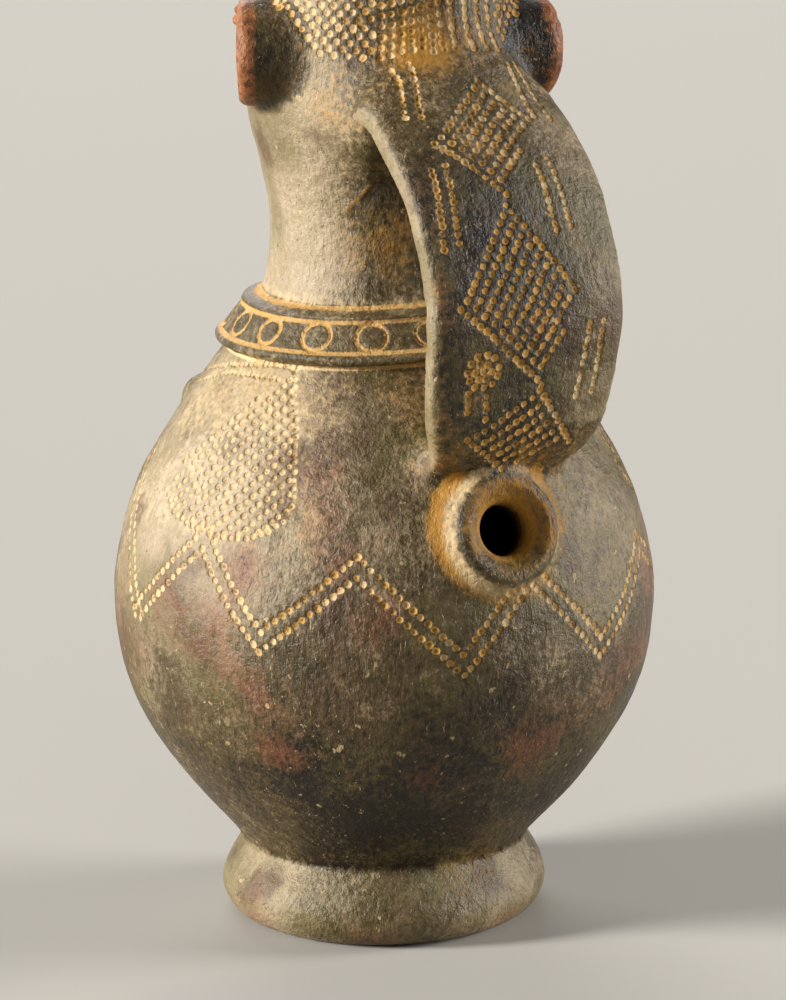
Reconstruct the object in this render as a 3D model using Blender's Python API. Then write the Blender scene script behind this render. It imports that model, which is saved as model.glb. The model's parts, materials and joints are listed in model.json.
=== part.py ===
import math

import bmesh
import bpy
from mathutils import Matrix, Vector

# A hollow fired-clay jar in the shape of a figure. It stands on a ring foot, its face
# looks along -Y, and the strap handle and the pouring spout are on the +Y side.
# Every size below is in millimetres, and mm turns it into metres. Radii and distances
# are taken from the turning axis, which stands a little in front of the origin.
mm = 0.001
axisForward = 3.8

# Turned body, outside: each point is (radius, height).
undersideCurve = [(0, 12), (22, 11), (36, 7), (46, 0)]
footCurve = [(57.5, 0), (62.8, 1.6), (67.9, 6.2), (70.2, 13), (68.3, 20.5), (64, 28), (60.8, 33)]
bellyCurve = [(60.8, 33), (68, 42), (84.4, 61), (101.2, 86), (111, 111), (114, 138), (111.3, 161),
              (103.4, 186), (89.4, 211), (71.8, 236), (60.6, 250), (51.5, 263)]
neckCurve = [(51.5, 263), (48, 280), (47.4, 298), (50.4, 316), (55.8, 337), (57, 352), (56, 370)]
crownCurve = [(56, 370), (54.8, 388), (51.5, 403), (45.5, 415), (37, 423), (31.5, 428)]
rimCurve = [(31.5, 428), (31, 433), (33, 440), (34.6, 444), (32.6, 446.4), (29.5, 446)]
bodySegments = 40
footOval = 0.02
footOvalTurn = math.radians(-59)

# Hollow inside, open through the crown.
cavityCurve = [(0, 24), (26, 25.5), (46, 35), (66, 53), (88, 82), (100, 109), (104.2, 138), (102, 161),
               (94.5, 186), (81, 211), (66, 236), (50, 254), (41, 268), (38.2, 298), (40.5, 318),
               (45, 340), (46, 370), (45, 390), (41, 404), (33.5, 414), (26, 421), (24.5, 430),
               (26.5, 440), (28.4, 450)]
cavitySegments = 30

# Collar: an applied sloping band round the root of the neck, hand-laid with a tilt and a wave.
collarSection = [(44, 245.2), (66, 245.4), (69.4, 246.5), (70.4, 248.2), (69.7, 250.2), (68.3, 250.8),
                 (59.4, 262.3), (59.4, 263.2), (58.4, 264.7), (55.8, 265.7), (50.8, 266.4), (44, 267)]
collarTilt = 1.6
collarHighTurn = math.radians(61)
collarWave = 1.3
collarLowTurn = math.radians(-52)

# Stamped rings along the collar's band.
ringCount = 17
ringFirstTurn = math.radians(-31.5)
ringRadius = 5.6
ringGroove = 1.1
ringDepth = 0.9
ringSegments = 12

# Strap handle: (distance from the axis, height) along the middle of its outer face, which
# stands a little to the -X side.
strapRoute = [(46, 364), (62, 362), (76, 351), (89, 338.5), (102.5, 321), (111.5, 303.5), (118.6, 286),
              (121.7, 268), (119.4, 249.5), (114, 226), (107.5, 213), (96.5, 204), (79, 199.5)]
strapHalfWidths = [38, 42.4, 43.4, 43.9, 43.4, 43.4, 43.4, 43.4, 42.9, 40.2, 36, 32, 27]
strapSideways = -1.2
strapCrowns = [15, 12, 8, 6, 3.5, 2.5, 2, 2, 2, 2, 2, 2, 2]
strapThickness = 13.5
strapStations = 17
strapSectionPoints = 14
strapSquareness = 4.5

# Spout: a short tube on the belly below the handle; heights run outward from its face.
spoutFace = (111.5, 185.5)
spoutTurn = math.radians(-2.3)
spoutTilt = math.radians(16)
spoutSection = [(0, -30), (27.5, -30), (25.6, -11.5), (23.6, -6.5), (23, -3), (21, -0.7), (18, 0), (0, 0)]
boreSection = [(0, -60), (10.3, -60), (10.3, -7), (12, -4.6), (17, -0.6), (19, 2), (0, 2)]
spoutSegments = 24

# The head is turned a little from the handle's line, about the turning axis.
headTurn = math.radians(-16)

# Ears: drum-shaped lugs, a little forward of square to the head.
earCentre = (63.4, 13.4, 366)
earForward = math.radians(13)
earSection = [(0, -27), (17, -27), (22.5, -4.5), (21, -1.2), (18, 0), (13, -0.8), (0, -1.4)]
earSegments = 20

# Breasts: low knobs on the shoulder.
breastTurn = math.radians(135)
breastReach = 80
breastHeight = 217
breastRadius = 9

# Face: a raised oval with simple features in even proportions.
faceCentreHeight = 366
faceHalfHeight = 46
faceHalfWidth = 41
faceRise = 6
chinHeight = 331
chinRise = 5
eyeHeight = 372
eyeSpread = 17
noseTipHeight = 354
mouthHeight = 342
facePlane = 60.5

# Points closer together than this after the joining become one.
weldReach = 0.02


def clearScene():
    for item in list(bpy.data.objects):
        bpy.data.objects.remove(item)


def clayMaterial():
    material = bpy.data.materials.new("fired_clay")
    material.use_nodes = True
    shader = material.node_tree.nodes["Principled BSDF"]
    shader.inputs["Base Color"].default_value = (0.17, 0.13, 0.09, 1)
    shader.inputs["Roughness"].default_value = 0.62
    shader.inputs["Metallic"].default_value = 0
    material.diffuse_color = (0.35, 0.28, 0.21, 1)
    return material


def between(points, count):
    """Even steps along a smooth curve through the points."""
    ends = [points[0]] + list(points) + [points[-1]]
    dense = []
    for a, b, c, d in zip(ends, ends[1:], ends[2:], ends[3:]):
        for step in range(12):
            t = step / 12
            dense.append([0.5 * (2 * q + (r - p) * t + (2 * p - 5 * q + 4 * r - s) * t ** 2
                                 + (3 * q - p - 3 * r + s) * t ** 3)
                          for p, q, r, s in zip(a, b, c, d)])
    dense.append(list(points[-1]))
    reach = [0]
    for near, far in zip(dense, dense[1:]):
        reach.append(reach[-1] + math.dist(near, far))
    result = []
    span = 0
    for step in range(count):
        want = reach[-1] * step / (count - 1)
        while span < len(reach) - 2 and reach[span + 1] < want:
            span += 1
        share = (want - reach[span]) / (reach[span + 1] - reach[span])
        result.append([p + (q - p) * share for p, q in zip(dense[span], dense[span + 1])])
    return result


def turned(section, segments, closed=False):
    """A bmesh made by spinning (radius, height) points about Z, in metres."""
    form = bmesh.new()
    verts = [form.verts.new((radius * mm, 0, height * mm)) for radius, height in section]
    edges = [form.edges.new(pair) for pair in zip(verts, verts[1:])]
    if closed:
        edges.append(form.edges.new((verts[-1], verts[0])))
    bmesh.ops.spin(form, geom=verts + edges, cent=(0, 0, 0), axis=(0, 0, 1),
                   angle=math.tau, steps=segments, use_merge=True, use_duplicate=False)
    bmesh.ops.remove_doubles(form, verts=form.verts, dist=0.00001)
    bmesh.ops.recalc_face_normals(form, faces=form.faces)
    return form


def finished(form, name, guide=True):
    """Turns a bmesh into an object; a guide only serves the jar's modifiers."""
    mesh = bpy.data.meshes.new(name)
    form.to_mesh(mesh)
    form.free()
    mesh.shade_smooth()
    mesh.set_sharp_from_angle(angle=math.radians(40))
    item = bpy.data.objects.new(name, mesh)
    item.location.y = -axisForward * mm
    bpy.context.collection.objects.link(item)
    if guide:
        item.hide_render = True
        item.display_type = "WIRE"
    return item


def fade(value, near, far):
    """One at near, falling smoothly to nought at far."""
    share = min(max((far - value) / (far - near), 0), 1)
    return share * share * (3 - 2 * share)


def shapeBody(form):
    """Makes the foot slightly oval and raises the face out of the turned head."""
    for vert in form.verts:
        radius = math.hypot(vert.co.x, vert.co.y)
        if radius < 0.02:
            continue
        height = vert.co.z / mm
        turn = math.atan2(-vert.co.x, vert.co.y)
        oval = footOval * math.cos(2 * (turn - footOvalTurn)) * fade(height, 26, 60)
        fromFront = abs(math.remainder(turn - headTurn - math.pi, math.tau)) * radius / mm
        spread = math.hypot(fromFront / faceHalfWidth, (height - faceCentreHeight) / faceHalfHeight)
        rise = faceRise * fade(spread, 0.7, 1.15)
        rise += chinRise * math.exp(-(fromFront / 17) ** 2 - ((height - chinHeight) / 9) ** 2)
        vert.co.xy *= 1 + oval + rise * mm / radius


def bodyForm():
    outline = between(undersideCurve, 4)
    outline += between(footCurve, 7)
    outline += between(bellyCurve, 16)[1:]
    outline += between(neckCurve, 8)[1:]
    outline += between(crownCurve, 7)[1:]
    outline += between(rimCurve, 7)[1:]
    outline.append((0, rimCurve[-1][1]))
    form = turned(outline, bodySegments)
    shapeBody(form)
    return form


def cavityForm():
    return turned(between(cavityCurve, 23) + [(0, cavityCurve[-1][1])], cavitySegments)


def collarLift(x, y):
    """How far the collar's tilt and wave lift a point, in metres."""
    turn = math.atan2(-x, y)
    return mm * (collarTilt * math.cos(turn - collarHighTurn)
                 - collarWave * math.cos(2 * (turn - collarLowTurn)))


def collarForm():
    form = turned(collarSection, bodySegments, closed=True)
    for vert in form.verts:
        vert.co.z += collarLift(vert.co.x, vert.co.y)
    return form


def ringForms():
    """Cutters for the stamped rings, square to the band's slope."""
    low = Vector((collarSection[5][0], 0, collarSection[5][1]))
    high = Vector((collarSection[6][0], 0, collarSection[6][1]))
    middle = (low + high) / 2
    slant = math.atan2(low.x - high.x, high.z - low.z)
    section = [(ringRadius - ringGroove / 2, -ringDepth), (ringRadius + ringGroove / 2, -ringDepth),
               (ringRadius + ringGroove / 2, 2), (ringRadius - ringGroove / 2, 2)]
    for number in range(ringCount):
        turn = math.radians(90) + ringFirstTurn + math.tau * number / ringCount
        form = turned(section, ringSegments, closed=True)
        bmesh.ops.rotate(form, verts=form.verts, matrix=Matrix.Rotation(math.pi / 2 - slant, 3, "Y"))
        bmesh.ops.translate(form, verts=form.verts, vec=middle * mm)
        bmesh.ops.rotate(form, verts=form.verts, matrix=Matrix.Rotation(turn, 3, "Z"))
        lift = collarLift(math.cos(turn), math.sin(turn))
        bmesh.ops.translate(form, verts=form.verts, vec=(0, 0, lift))
        yield form


def strapForm():
    """A crowned strap, one section at each step along its route."""
    stations = [(reach, height, width, crown) for (reach, height), width, crown
                in zip(strapRoute, strapHalfWidths, strapCrowns)]
    route = between(stations, strapStations)
    form = bmesh.new()
    loops = []
    for number, (reach, height, width, crown) in enumerate(route):
        back = route[max(number - 1, 0)]
        ahead = route[min(number + 1, strapStations - 1)]
        along = Vector((0, ahead[0] - back[0], ahead[1] - back[1])).normalized()
        out = Vector((0, -along.z, along.y))
        loop = []
        for step in range(strapSectionPoints):
            angle = math.tau * (step + 0.5) / strapSectionPoints
            across = math.copysign(abs(math.cos(angle)) ** (2 / strapSquareness), math.cos(angle))
            deep = math.copysign(abs(math.sin(angle)) ** (2 / strapSquareness), math.sin(angle))
            sink = strapThickness * (1 - deep) / 2 + crown * across * across
            place = Vector((strapSideways + across * width, reach, height)) - out * sink
            loop.append(form.verts.new(place * mm))
        loops.append(loop)
    for near, far in zip(loops, loops[1:]):
        for step in range(strapSectionPoints):
            after = (step + 1) % strapSectionPoints
            form.faces.new((near[step], near[after], far[after], far[step]))
    form.faces.new(loops[0])
    form.faces.new(loops[-1])
    bmesh.ops.recalc_face_normals(form, faces=form.faces)
    return form


def onSpout(section):
    """A turned piece on the spout's axis, its height zero at the spout's face."""
    form = turned(section, spoutSegments)
    place = (Matrix.Rotation(spoutTurn, 4, "Z") @ Matrix.Translation((0, spoutFace[0] * mm, spoutFace[1] * mm))
             @ Matrix.Rotation(spoutTilt - math.pi / 2, 4, "X"))
    bmesh.ops.transform(form, matrix=place, verts=form.verts)
    return form


def earForm(side):
    form = turned(earSection, earSegments)
    place = (Matrix.Rotation(headTurn, 4, "Z")
             @ Matrix.Translation(Vector((side * earCentre[0], earCentre[1], earCentre[2])) * mm)
             @ Matrix.Rotation(-side * earForward, 4, "Z") @ Matrix.Rotation(side * math.pi / 2, 4, "Y"))
    bmesh.ops.transform(form, matrix=place, verts=form.verts)
    return form


def pebble(place, radii, turn=0, lean=0, swing=0):
    """An ellipsoid pressed onto the clay; turn is about Y, lean about Z and swing about the axis."""
    form = bmesh.new()
    matrix = (Matrix.Rotation(swing, 4, "Z") @ Matrix.Translation(Vector(place) * mm)
              @ Matrix.Rotation(lean, 4, "Z") @ Matrix.Rotation(turn, 4, "Y")
              @ Matrix.Diagonal((*(Vector(radii) * mm), 1)))
    bmesh.ops.create_uvsphere(form, u_segments=12, v_segments=8, radius=1, matrix=matrix)
    return form


def faceForms():
    """Nose, brows, eyes and lips in front of the face's plane."""
    yield "nose_ridge", pebble((0, -facePlane, noseTipHeight + 10), (6, 8.5, 17), swing=headTurn)
    yield "nose_tip", pebble((0, -facePlane - 3, noseTipHeight), (9.5, 7, 6), swing=headTurn)
    for side in (-1, 1):
        lean = side * math.radians(18)
        across = side * eyeSpread
        yield f"eye_{side}", pebble((across, 3 - facePlane, eyeHeight), (10, 5, 5.5), 0, lean, headTurn)
        yield f"brow_{side}", pebble((across, 3 - facePlane, eyeHeight + 11), (13, 5, 3),
                                     -side * math.radians(4), lean, headTurn)
    yield "upper_lip", pebble((0, -facePlane, mouthHeight + 2.3), (12.3, 6.2, 3.1), swing=headTurn)
    yield "lower_lip", pebble((0, -facePlane, mouthHeight - 2.6), (10.9, 6.7, 3.2), swing=headTurn)


def breastForm(side):
    turn = side * breastTurn
    place = (-math.sin(turn) * breastReach, math.cos(turn) * breastReach, breastHeight)
    return pebble(place, (breastRadius,) * 3)


def gathered(name, guides):
    """Keeps the guides of one Boolean step together in a collection."""
    group = bpy.data.collections.new(name)
    bpy.context.scene.collection.children.link(group)
    for guide in guides:
        bpy.context.collection.objects.unlink(guide)
        group.objects.link(guide)
    return group


def booleanStep(jar, group, operation):
    step = jar.modifiers.new(group.name, "BOOLEAN")
    step.operation = operation
    step.solver = "EXACT"
    step.operand_type = "COLLECTION"
    step.collection = group


def buildJar():
    jar = finished(bodyForm(), "anthropomorphic_jar", guide=False)
    jar.data.materials.append(clayMaterial())
    added = [("collar", collarForm()), ("strap", strapForm()), ("spout", onSpout(spoutSection)),
             ("ear_left", earForm(1)), ("ear_right", earForm(-1)),
             ("breast_left", breastForm(1)), ("breast_right", breastForm(-1))]
    added += faceForms()
    removed = [("cavity", cavityForm()), ("bore", onSpout(boreSection))]
    removed += [(f"ring_{number}", form) for number, form in enumerate(ringForms())]
    booleanStep(jar, gathered("added", [finished(form, name) for name, form in added]), "UNION")
    booleanStep(jar, gathered("removed", [finished(form, name) for name, form in removed]), "DIFFERENCE")
    weld = jar.modifiers.new("weld", "WELD")
    weld.merge_threshold = weldReach * mm


clearScene()
buildJar()
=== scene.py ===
import json
import math
import random

import bmesh
import bpy
from mathutils import Matrix, Vector, noise
from mathutils.bvhtree import BVHTree
from mathutils.kdtree import KDTree

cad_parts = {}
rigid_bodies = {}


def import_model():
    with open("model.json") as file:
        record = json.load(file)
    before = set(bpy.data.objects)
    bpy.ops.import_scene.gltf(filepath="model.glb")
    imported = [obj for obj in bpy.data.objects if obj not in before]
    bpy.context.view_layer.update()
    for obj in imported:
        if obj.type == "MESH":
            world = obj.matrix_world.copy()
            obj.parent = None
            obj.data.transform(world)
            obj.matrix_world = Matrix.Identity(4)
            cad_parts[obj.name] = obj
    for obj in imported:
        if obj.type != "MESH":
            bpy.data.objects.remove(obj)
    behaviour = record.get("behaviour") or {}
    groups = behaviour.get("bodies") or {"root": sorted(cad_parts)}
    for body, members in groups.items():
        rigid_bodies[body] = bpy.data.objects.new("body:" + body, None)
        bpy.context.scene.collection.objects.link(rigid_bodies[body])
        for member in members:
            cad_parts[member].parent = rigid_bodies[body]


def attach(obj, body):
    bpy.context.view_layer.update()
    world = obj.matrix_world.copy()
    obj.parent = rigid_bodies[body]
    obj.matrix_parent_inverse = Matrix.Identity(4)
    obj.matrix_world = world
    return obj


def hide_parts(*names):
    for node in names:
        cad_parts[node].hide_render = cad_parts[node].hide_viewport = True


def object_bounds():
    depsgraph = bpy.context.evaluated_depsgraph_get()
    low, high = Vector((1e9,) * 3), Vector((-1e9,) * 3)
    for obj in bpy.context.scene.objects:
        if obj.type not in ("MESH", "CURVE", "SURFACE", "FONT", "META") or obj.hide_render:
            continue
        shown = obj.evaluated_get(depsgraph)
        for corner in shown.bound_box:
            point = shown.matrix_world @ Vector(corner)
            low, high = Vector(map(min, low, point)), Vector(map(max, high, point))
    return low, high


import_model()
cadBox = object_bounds()
chance = random.Random(17)

# the jar is modelled in millimetres about its turning axis and brought to metres at the end
mm = 0.001
axisForward = 3.8
headTurn = math.radians(-16)  # the head is turned a little from the handle's line

body = {
    "underside": [(0, 12), (22, 11), (36, 7), (46, 0)],
    "foot": [(57.5, 0), (62.8, 1.6), (67.9, 6.2), (70.2, 13), (68.3, 20.5), (64, 28), (60.8, 33)],
    "belly": [(60.8, 33), (68, 42), (84.4, 61), (101.2, 86), (111, 111), (114, 138), (111.3, 161),
              (103.4, 186), (89.4, 211), (71.8, 236), (60.6, 250), (51.5, 263)],
    "neck": [(51.5, 263), (48, 280), (47.4, 298), (50.4, 316), (55.8, 337), (57, 352), (56, 370)],
    "crown": [(56, 370), (54.8, 388), (51.5, 403), (45.5, 415), (37, 423), (31.5, 428)],
    "rim": [(31.5, 428), (31, 433), (33, 440), (34.6, 444), (32.6, 446.4), (29.5, 446)],
    "segments": 192, "oval": 0.02, "ovalTurn": math.radians(-59),
    # the face swells out a little, and the chin more
    "face": {"rise": 6, "halfWidth": 41, "halfHeight": 46, "height": 366},
    "chin": {"rise": 5, "width": 17, "size": 9, "height": 331},
}
cavity = {
    "curve": [(0, 24), (26, 25.5), (46, 35), (66, 53), (88, 82), (100, 109), (104.2, 138), (102, 161),
              (94.5, 186), (81, 211), (66, 236), (50, 254), (41, 268), (38.2, 298), (40.5, 318),
              (45, 340), (46, 370), (45, 390), (41, 404), (33.5, 414), (26, 421), (24.5, 430),
              (26.5, 440), (28.4, 450)],
    "segments": 48, "steps": 44,
}
strap = {
    # (reach from the jar's axis, height), from inside the head down to the belly
    "route": [(30, 364.5), (46, 364), (62, 362), (76, 351), (89, 338.5), (102.5, 321), (111.2, 303.5),
              (118.1, 286), (121.0, 268), (118.8, 249.5), (113.6, 226), (107.2, 213), (96.5, 204),
              (79, 199.5)],
    "halfWidths": [36, 38, 42.4, 43.4, 43.9, 43.4, 43.4, 43.4, 43.4, 42.9, 40.2, 36, 32, 27],
    "crowns": [15, 15, 12, 8, 6, 3.5, 2.5, 2, 2, 2, 2, 2, 2, 2],
    "thickness": 13.5, "sideways": -1.2, "squareness": 4.5, "stations": 96, "points": 56,
    "blend": 11, "headBlend": 13, "headBlendHeights": (348, 318),
    "lead": 16,  # along the route, to where the rows of dots count from
}
spout = {
    "face": (111.5, 185.5), "turn": math.radians(-2.3), "tilt": math.radians(16),
    "section": [(0, -30), (27.5, -30), (26.4, -20), (25.6, -11.5), (23.6, -6.5), (23, -3), (22.3, -1.5),
                (21, -0.5), (19.6, 0), (18, -0.2), (0, -0.2)],
    "bore": [(0, -60), (10.3, -60), (10.3, -8), (10.8, -6), (12, -4.2), (14, -2.5), (16.5, -1), (19, 0.6),
             (20, 3), (0, 3)],
    "segments": 64, "blend": 7,
}
ear = {
    "centre": (63.4, 13.4, 366), "forward": math.radians(13),
    "section": [(0, -30), (19, -30), (20.8, -15.5), (22.2, -6.5), (22.4, -4), (21.4, -1.4), (19.8, -0.2),
                (18, 0), (15.5, -0.5), (13, -0.9), (0, -1.4)],
    "segments": 64, "blend": 4,
}
collar = {
    # (height, radius) over the turned body
    "profile": [(244.9, 0), (245.3, 68.2), (246.0, 69.3), (247.0, 70.2), (248.3, 70.6), (249.5, 70.3),
                (250.3, 69.4), (250.8, 68.0), (251.3, 67.5), (252.1, 67.0), (261.3, 60.0), (261.9, 59.0),
                (262.4, 58.8), (262.9, 59.3), (263.5, 59.6), (264.2, 59.4), (264.9, 58.5), (265.6, 56.6),
                (266.2, 54.0), (266.8, 51.9), (267.4, 0)],
    "creases": (244.6, 251.1, 262.1, 267.0),
    "tilt": 1.6, "highTurn": math.radians(61), "wave": 1.3, "lowTurn": math.radians(-52), "wobble": 0.5,
    "ringCount": 17, "ringFirstTurn": -33.4, "ringRadius": 5.9, "ringWidth": 1.1, "ringDepth": 1.05,
    "bandMiddle": (63.6, 257.2),
}
lumps = {
    # radii, and how softly each runs into the clay; places are (sideways, back, up)
    "breast": {"turn": math.radians(135), "reach": 80, "height": 217, "radii": (9, 9, 9), "blend": 5},
    "strapRoot": {"place": (32, 43, 334), "radii": (8, 9, 11), "blend": 12},
    "eye": {"place": (17, -57.5, 372), "radii": (10, 5, 5.5), "blend": 2},
    "brow": {"place": (17, -57.5, 383), "radii": (13, 5, 3), "blend": 3, "droop": math.radians(4)},
    "faceLean": math.radians(18),
    # bridge and tip of the nose, upper and lower lip: (place, radii, blend)
    "middle": [((0, -60.5, 364), (6, 8.5, 17), 4), ((0, -63.5, 354), (9.5, 7, 6), 2.5),
               ((0, -60.5, 344.3), (12.3, 6.2, 3.1), 1.2), ((0, -60.5, 339.4), (10.9, 6.7, 3.2), 1.2)],
    "pellets": [(63.7, 19.2, 383), (65.5, 24.2, 379.4)], "pelletRadius": 2.4, "pelletBlend": 1.2,
}
mesh = {
    "voxel": 3.8, "bend": 0.26, "rounds": 3,
    # longest edges wanted, where the clay is worked
    "dotEdge": 1.0, "collarEdge": 1.1, "scarEdge": 1.1, "faceEdge": 1.5, "rimEdge": 1.5, "spoutEdge": 1.5,
    "earEdge": 1.7, "bendEdge": 1.8, "plainEdge": 99,
}


# shapes

def between(points, count):
    # even steps along a smooth curve through the points
    ends = [points[0]] + list(points) + [points[-1]]
    dense = []
    for a, b, c, d in zip(ends, ends[1:], ends[2:], ends[3:]):
        for step in range(12):
            t = step / 12
            dense.append([0.5 * (2 * q + (r - p) * t + (2 * p - 5 * q + 4 * r - s) * t ** 2
                                 + (3 * q - p - 3 * r + s) * t ** 3)
                          for p, q, r, s in zip(a, b, c, d)])
    dense.append(list(points[-1]))
    reach = [0]
    for near, far in zip(dense, dense[1:]):
        reach.append(reach[-1] + math.dist(near, far))
    result = []
    span = 0
    for step in range(count):
        want = reach[-1] * step / (count - 1)
        while span < len(reach) - 2 and reach[span + 1] < want:
            span += 1
        share = (want - reach[span]) / (reach[span + 1] - reach[span])
        result.append([p + (q - p) * share for p, q in zip(dense[span], dense[span + 1])])
    return result


def fade(value, near, far):
    # one at near, falling smoothly to nought at far
    share = min(max((far - value) / (far - near), 0), 1)
    return share * share * (3 - 2 * share)


def turned(section, segments):
    form = bmesh.new()
    verts = [form.verts.new((radius, 0, height)) for radius, height in section]
    edges = [form.edges.new(pair) for pair in zip(verts, verts[1:])]
    bmesh.ops.spin(form, geom=verts + edges, cent=(0, 0, 0), axis=(0, 0, 1), angle=math.tau,
                   steps=segments, use_merge=True, use_duplicate=False)
    bmesh.ops.remove_doubles(form, verts=form.verts, dist=0.01)
    bmesh.ops.recalc_face_normals(form, faces=form.faces)
    return form


def bodyForm():
    outline = between(body["underside"], 10) + between(body["foot"], 30) + between(body["belly"], 90)[1:]
    outline += between(body["neck"], 40)[1:] + between(body["crown"], 30)[1:] + between(body["rim"], 26)[1:]
    form = turned(outline + [(0, body["rim"][-1][1])], body["segments"])
    face, chin = body["face"], body["chin"]
    for vert in form.verts:
        radius = vert.co.xy.length
        if radius < 20:
            continue
        turn = math.atan2(-vert.co.x, vert.co.y)
        oval = body["oval"] * math.cos(2 * (turn - body["ovalTurn"])) * fade(vert.co.z, 26, 60)
        side = abs(math.remainder(turn - headTurn - math.pi, math.tau)) * radius
        share = math.hypot(side / face["halfWidth"], (vert.co.z - face["height"]) / face["halfHeight"])
        rise = face["rise"] * fade(share, 0.7, 1.15)
        away = (side / chin["width"]) ** 2 + ((vert.co.z - chin["height"]) / chin["size"]) ** 2
        rise += chin["rise"] * math.exp(-away)
        vert.co.xy *= 1 + oval + rise / radius
    return form


def strapRoute():
    stations = [(reach, height, width, crown) for (reach, height), width, crown
                in zip(strap["route"], strap["halfWidths"], strap["crowns"])]
    route = between(stations, strap["stations"])
    result = []
    for number, (reach, height, width, crown) in enumerate(route):
        back = route[max(number - 1, 0)]
        ahead = route[min(number + 1, len(route) - 1)]
        along = Vector((0, ahead[0] - back[0], ahead[1] - back[1])).normalized()
        result.append((Vector((0, reach, height)), along, Vector((0, -along.z, along.y)), width, crown))
    return result


def strapForm():
    form = bmesh.new()
    loops = []
    for middle, along, out, width, crown in strapRoute():
        loop = bmesh.ops.create_circle(form, segments=strap["points"], radius=1, cap_ends=False)["verts"]
        for vert in loop:
            angle = math.atan2(vert.co.y, vert.co.x)
            across = math.copysign(abs(math.cos(angle)) ** (2 / strap["squareness"]), math.cos(angle))
            deep = math.copysign(abs(math.sin(angle)) ** (2 / strap["squareness"]), math.sin(angle))
            sink = strap["thickness"] * (1 - deep) / 2 + crown * across * across
            vert.co = middle + Vector((strap["sideways"] + across * width, 0, 0)) - out * sink
        loops.append({edge for vert in loop for edge in vert.link_edges})
    for near, far in zip(loops, loops[1:]):
        bmesh.ops.bridge_loops(form, edges=list(near | far))
    bmesh.ops.holes_fill(form, edges=[edge for edge in form.edges if edge.is_boundary])
    bmesh.ops.recalc_face_normals(form, faces=form.faces)
    return form


def onSpout(section):
    form = turned(section, spout["segments"])
    place = (Matrix.Rotation(spout["turn"], 4, "Z") @ Matrix.Translation((0, *spout["face"]))
             @ Matrix.Rotation(spout["tilt"] - math.pi / 2, 4, "X"))
    bmesh.ops.transform(form, matrix=place, verts=form.verts)
    return form


def earForm(side):
    form = turned(ear["section"], ear["segments"])
    x, y, z = ear["centre"]
    place = (Matrix.Rotation(headTurn, 4, "Z") @ Matrix.Translation((side * x, y, z))
             @ Matrix.Rotation(-side * ear["forward"], 4, "Z")
             @ Matrix.Rotation(side * math.pi / 2, 4, "Y"))
    bmesh.ops.transform(form, matrix=place, verts=form.verts)
    return form


def pebble(place, radii, turn=0, lean=0, swing=0):
    # a pressed-on lump; turn is about Y, lean about Z and swing about the jar's axis
    form = bmesh.new()
    matrix = (Matrix.Rotation(swing, 4, "Z") @ Matrix.Translation(place) @ Matrix.Rotation(lean, 4, "Z")
              @ Matrix.Rotation(turn, 4, "Y") @ Matrix.Diagonal((*radii, 1)))
    bmesh.ops.create_uvsphere(form, u_segments=32, v_segments=20, radius=1, matrix=matrix)
    return form


def pressedOn():
    # breasts, webs under the strap's root, face and the two pellets on one ear
    breast, root, eye, brow = [lumps[name] for name in ("breast", "strapRoot", "eye", "brow")]
    for side in (-1, 1):
        turn = side * breast["turn"]
        place = (-math.sin(turn) * breast["reach"], math.cos(turn) * breast["reach"], breast["height"])
        yield pebble(place, breast["radii"]), breast["blend"]
        out, back, up = root["place"]
        yield pebble((side * out + strap["sideways"], back, up), root["radii"]), root["blend"]
        lean = side * lumps["faceLean"]
        out, back, up = eye["place"]
        yield pebble((side * out, back, up), eye["radii"], 0, lean, headTurn), eye["blend"]
        out, back, up = brow["place"]
        droop = -side * brow["droop"]
        yield pebble((side * out, back, up), brow["radii"], droop, lean, headTurn), brow["blend"]
    for place, radii, blend in lumps["middle"]:
        yield pebble(place, radii, swing=headTurn), blend
    for place in lumps["pellets"]:
        yield pebble(place, [lumps["pelletRadius"]] * 3, swing=headTurn), lumps["pelletBlend"]


def clayForm(form, blend):
    form.normal_update()
    form.faces.ensure_lookup_table()
    corners = [[part(vert.co[axis] for vert in form.verts) for axis in range(3)] for part in (min, max)]
    return {"mesh": form, "tree": BVHTree.FromBMesh(form), "blend": blend,
            "low": corners[0], "high": corners[1]}


def reachOf(form, point):
    # signed distance from a form, and the way out of it
    place, normal, face, gap = form["tree"].find_nearest(point)
    away = point - place
    outward = away.dot(normal)
    if abs(outward) < 0.5 * gap:
        # nearest to an edge or a corner, where the softened normal tells in from out
        corner = min(form["mesh"].faces[face].verts, key=lambda vert: (vert.co - place).length_squared)
        outward = away.dot(corner.normal)
    side = 1 if outward >= 0 else -1
    return side * gap, (away * (side / gap) if gap > 0.001 else normal)


def clayReach(point):
    # signed distance from the whole outside, with each joint softly filled; filled says how much
    reach, slope = reachOf(forms[0], point)
    filled = 0
    for form in forms[1:]:
        soft = form["blend"]
        if form is forms[1]:
            soft += strap["headBlend"] * fade(point.z, *strap["headBlendHeights"])
        if any(point[i] < form["low"][i] - soft - 3 or point[i] > form["high"][i] + soft + 3
               for i in range(3)):
            continue
        gap, out = reachOf(form, point)
        share = min(max(0.5 + 0.5 * (reach - gap) / soft, 0), 1)
        filled = max(filled, 4 * share * (1 - share) * min(soft / 7, 1))
        reach = reach * (1 - share) + gap * share - soft * share * (1 - share)
        slope = slope * (1 - share) + out * share
    return reach, slope, filled


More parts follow.
